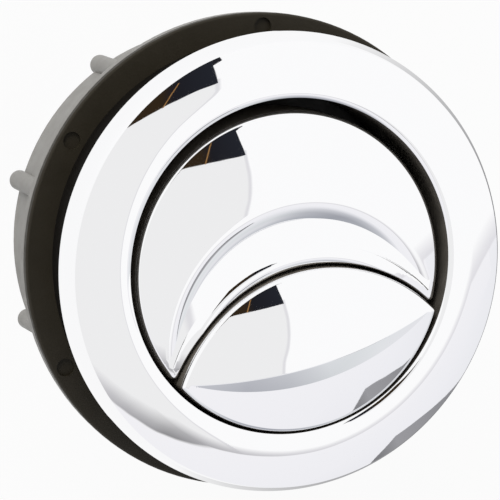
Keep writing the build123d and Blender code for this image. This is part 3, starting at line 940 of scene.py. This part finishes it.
# Backdrop beyond the seam, darker toward the floor, and the seam's shade, which is deep at its near end
seam = flowing([(-0.42, -0.13, 0.02, 0.85), (-0.26, -0.23, 0.03, 0.80), (-0.14, -0.33, 0.04, 0.66),
                (-0.065, -0.395, 0.05, 0.46), (0.0, -0.438, 0.06, 0.36), (0.04, -0.455, 0.065, 0.28),
                (0.083, -0.466, 0.08, 0.34), (0.126, -0.470, 0.09, 0.45), (0.2, -0.468, 0.07, 0.58),
                (0.305, -0.46, 0.05, 0.70), (0.427, -0.41, 0.045, 0.74), (0.555, -0.335, 0.04, 0.76),
                (0.697, -0.265, 0.04, 0.78), (0.81, -0.22, 0.04, 0.8)])
seam_centre = (0.05, 0.12)


def lowered(spot, height):
    """Direction above or below another, at a height of its unit vector, as seen from the seam's centre."""
    x, y = spot[0] - seam_centre[0], spot[1] - seam_centre[1]
    flat = sqrt(1 - height**2) / hypot(x, y)
    return x * flat, y * flat


backdrop = [[tuple(p) for p in seam[:, :2]]]
backdrop += [[lowered(p, z) for p in seam] for z in (0.72, 0.5, 0.35, 0.02)]
backdrop_greys = [(0.91, 0.905, 0.93), (0.88, 0.88, 0.91), (0.75, 0.775, 0.79), (0.80, 0.80, 0.83),
                  (0.45, 0.48, 0.52)]
sheet("backdrop", backdrop, backdrop_greys, reach=1.5)
# Painted shade in the backdrop: a darker card below the seam's near part, fading out to both sides
backdrop_shade_top = [(-0.14, -0.33), (-0.065, -0.395), (0.083, -0.466), (0.2, -0.468), (0.305, -0.46), (0.427, -0.41)]
backdrop_shade_rows = [[lowered(p, z) for p in backdrop_shade_top] for z in (0.76, 0.66, 0.5, 0.1)]
backdrop_shade_greys = [(0.87, 0.87, 0.90), (0.52, 0.53, 0.57), (0.36, 0.37, 0.41), (0.34, 0.36, 0.40)]
sheet("backdrop_shade", backdrop_shade_rows, backdrop_shade_greys, [0.0, 0.8, 1.0, 0.7, 0.2, 0.0])
ribbon("seam", seam, {1.0: 0.0, 0.35: 0.75, 0.04: 1.0, -0.06: 0.0})
patch = [[(0.355, -0.605), (0.355, -0.612), (0.355, -0.63)], [(0.379, -0.578), (0.385, -0.62), (0.4, -0.66)],
         [(0.409, -0.546), (0.422, -0.61), (0.44, -0.66)], [(0.46, -0.53), (0.474, -0.59), (0.495, -0.635)],
         [(0.508, -0.514), (0.52, -0.55), (0.54, -0.585)], [(0.557, -0.487), (0.56, -0.5), (0.564, -0.515)]]
patch_greys = [(d, d, 1.05 * d) for d in (0.18, 0.22, 0.33, 0.31, 0.27, 0.24)]
sheet("backdrop_patch", patch, patch_greys, [1.0, 1.0, 0.0], reach=1.3)

# Painted shade: a dark ring that only mirrors see, for the floor's shade round the object, which the far rim
# mirrors, fading out at both ends
floor_shade_inner, floor_shade_outer, floor_shade_z, floor_shade_grey = 0.0375, 0.06, -0.012, (0.16, 0.16, 0.17)
floor_shade_turns = fan(-125, 55, 37)
floor_shade_corners = [(r * cos(a), r * sin(a), floor_shade_z) for a in floor_shade_turns for r in (floor_shade_inner, floor_shade_outer)]
floor_shade_faces = [[2 * i, 2 * i + 1, 2 * i + 3, 2 * i + 2] for i in range(len(floor_shade_turns) - 1)]
floor_shade_covers = np.sin((floor_shade_turns - floor_shade_turns[0]) / (floor_shade_turns[-1] - floor_shade_turns[0]) * pi)
floor_shade = staged("floor_shade_card", floor_shade_corners, floor_shade_faces, card_material)
mirrored_only(floor_shade, [(*floor_shade_grey, cover) for cover in np.repeat(floor_shade_covers, 2)])

# Key lamp, which the plating doesn't mirror
lamp_data = bpy.data.lights.new("key", "AREA")
lamp_data.shape = "DISK"
lamp_data.size = 0.6
lamp_data.energy = 8
lamp = bpy.data.objects.new("key", lamp_data)
scene.collection.objects.link(lamp)
lamp.location = (-0.25, 1.05, 0.65)
lamp.rotation_mode = "QUATERNION"
lamp.rotation_quaternion = (-Vector(lamp.location)).to_track_quat("-Z", "Y")
lamp.visible_glossy = False
